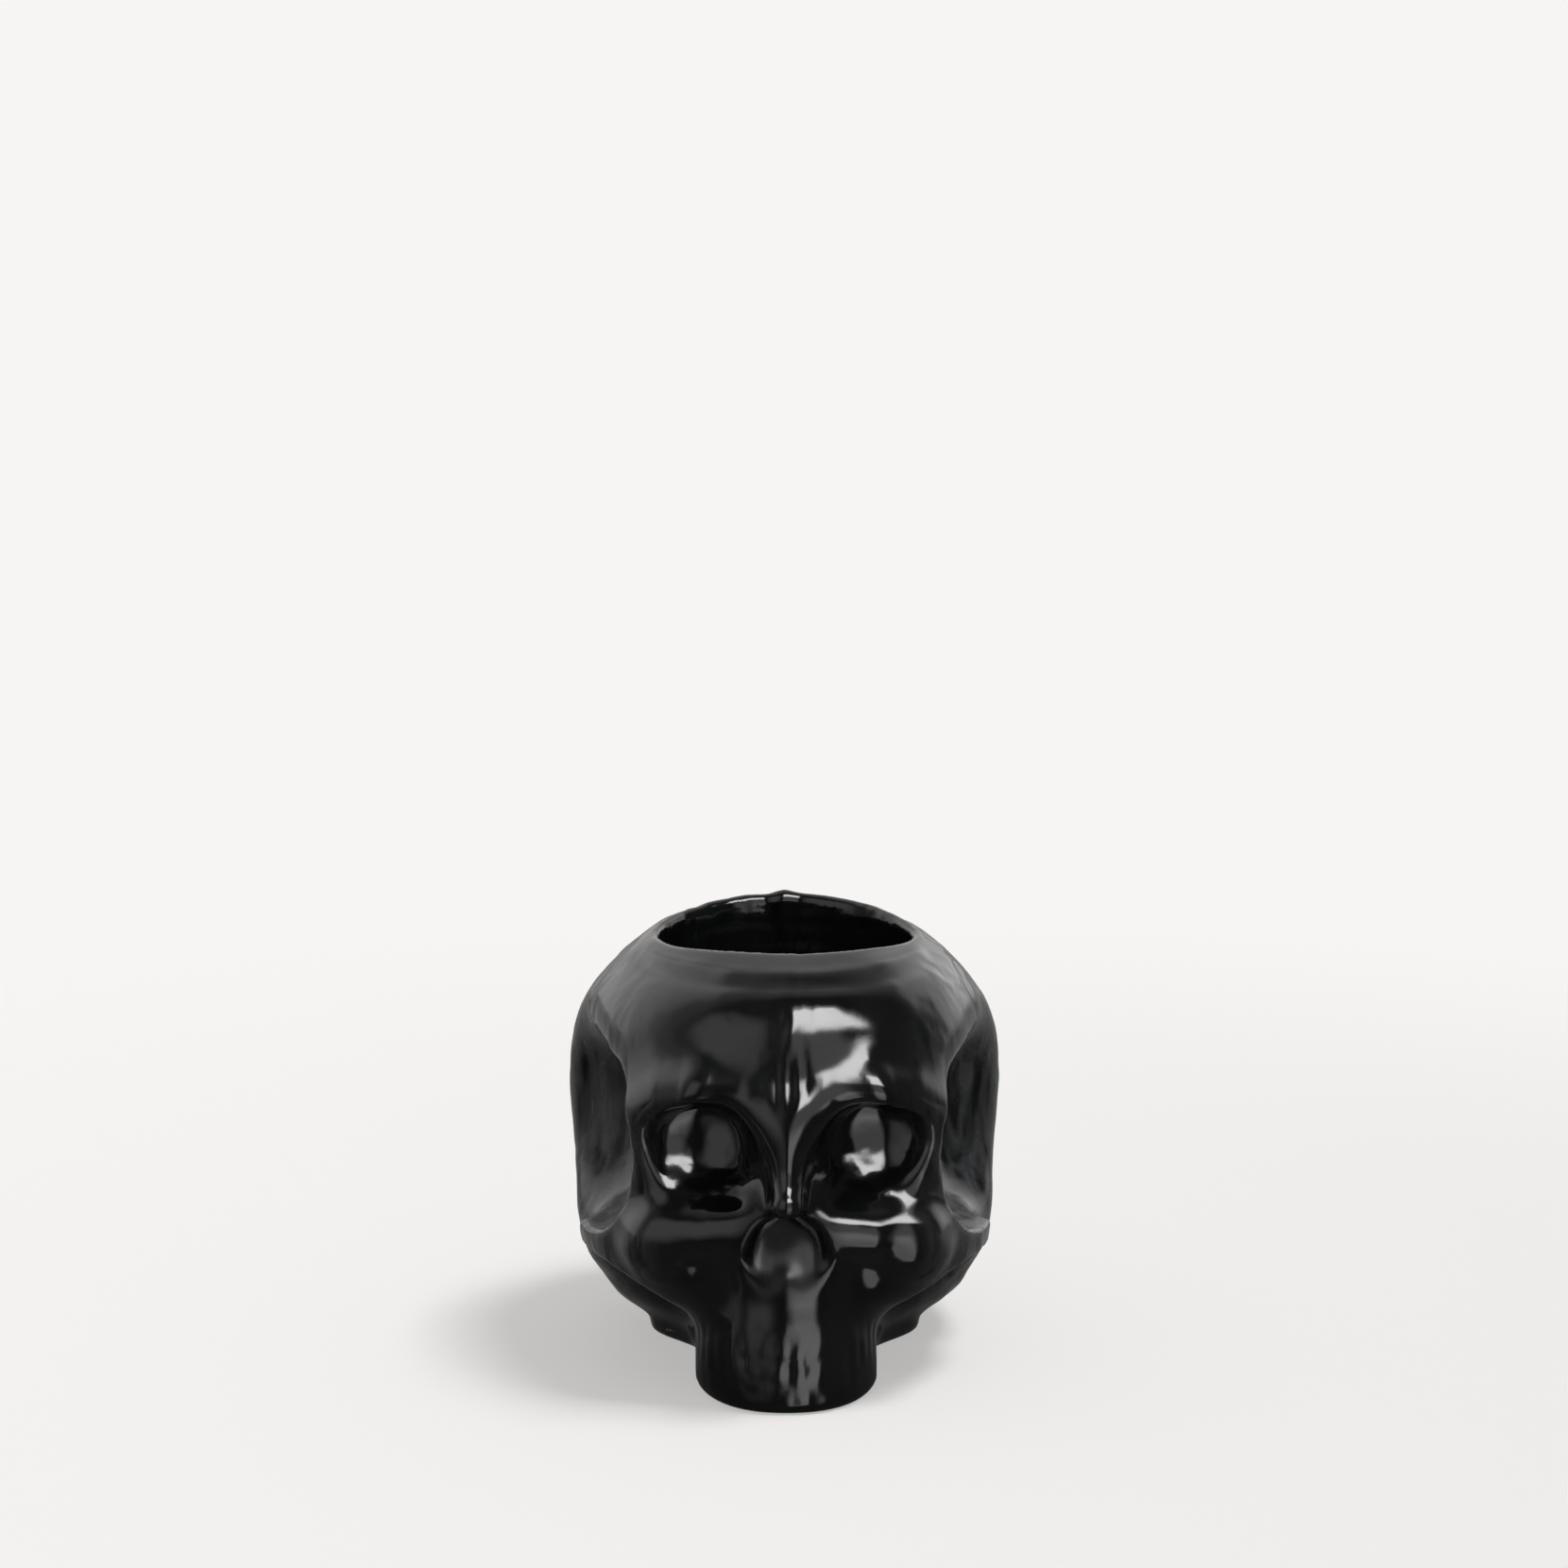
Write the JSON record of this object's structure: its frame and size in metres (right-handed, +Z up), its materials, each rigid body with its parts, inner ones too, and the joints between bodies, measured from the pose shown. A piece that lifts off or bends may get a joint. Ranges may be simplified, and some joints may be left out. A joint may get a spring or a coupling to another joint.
{
  "type": "skull candle holder",
  "caption": "Solid black glass skull with a round, open candle well let into its crown and a flat foot to stand on.",
  "frame": {"origin": "on the flat foot, straight below the middle of the candle well", "axes": "+Z up through the well, -Y the way the face looks, +X towards the skull's own left cheek"},
  "size_m": [0.0856, 0.1087, 0.0843],
  "materials": {
    "black_glass": "polished"
  },
  "bodies": {
    "root": {"skull_holder": "black_glass"}
  },
  "joints": []
}
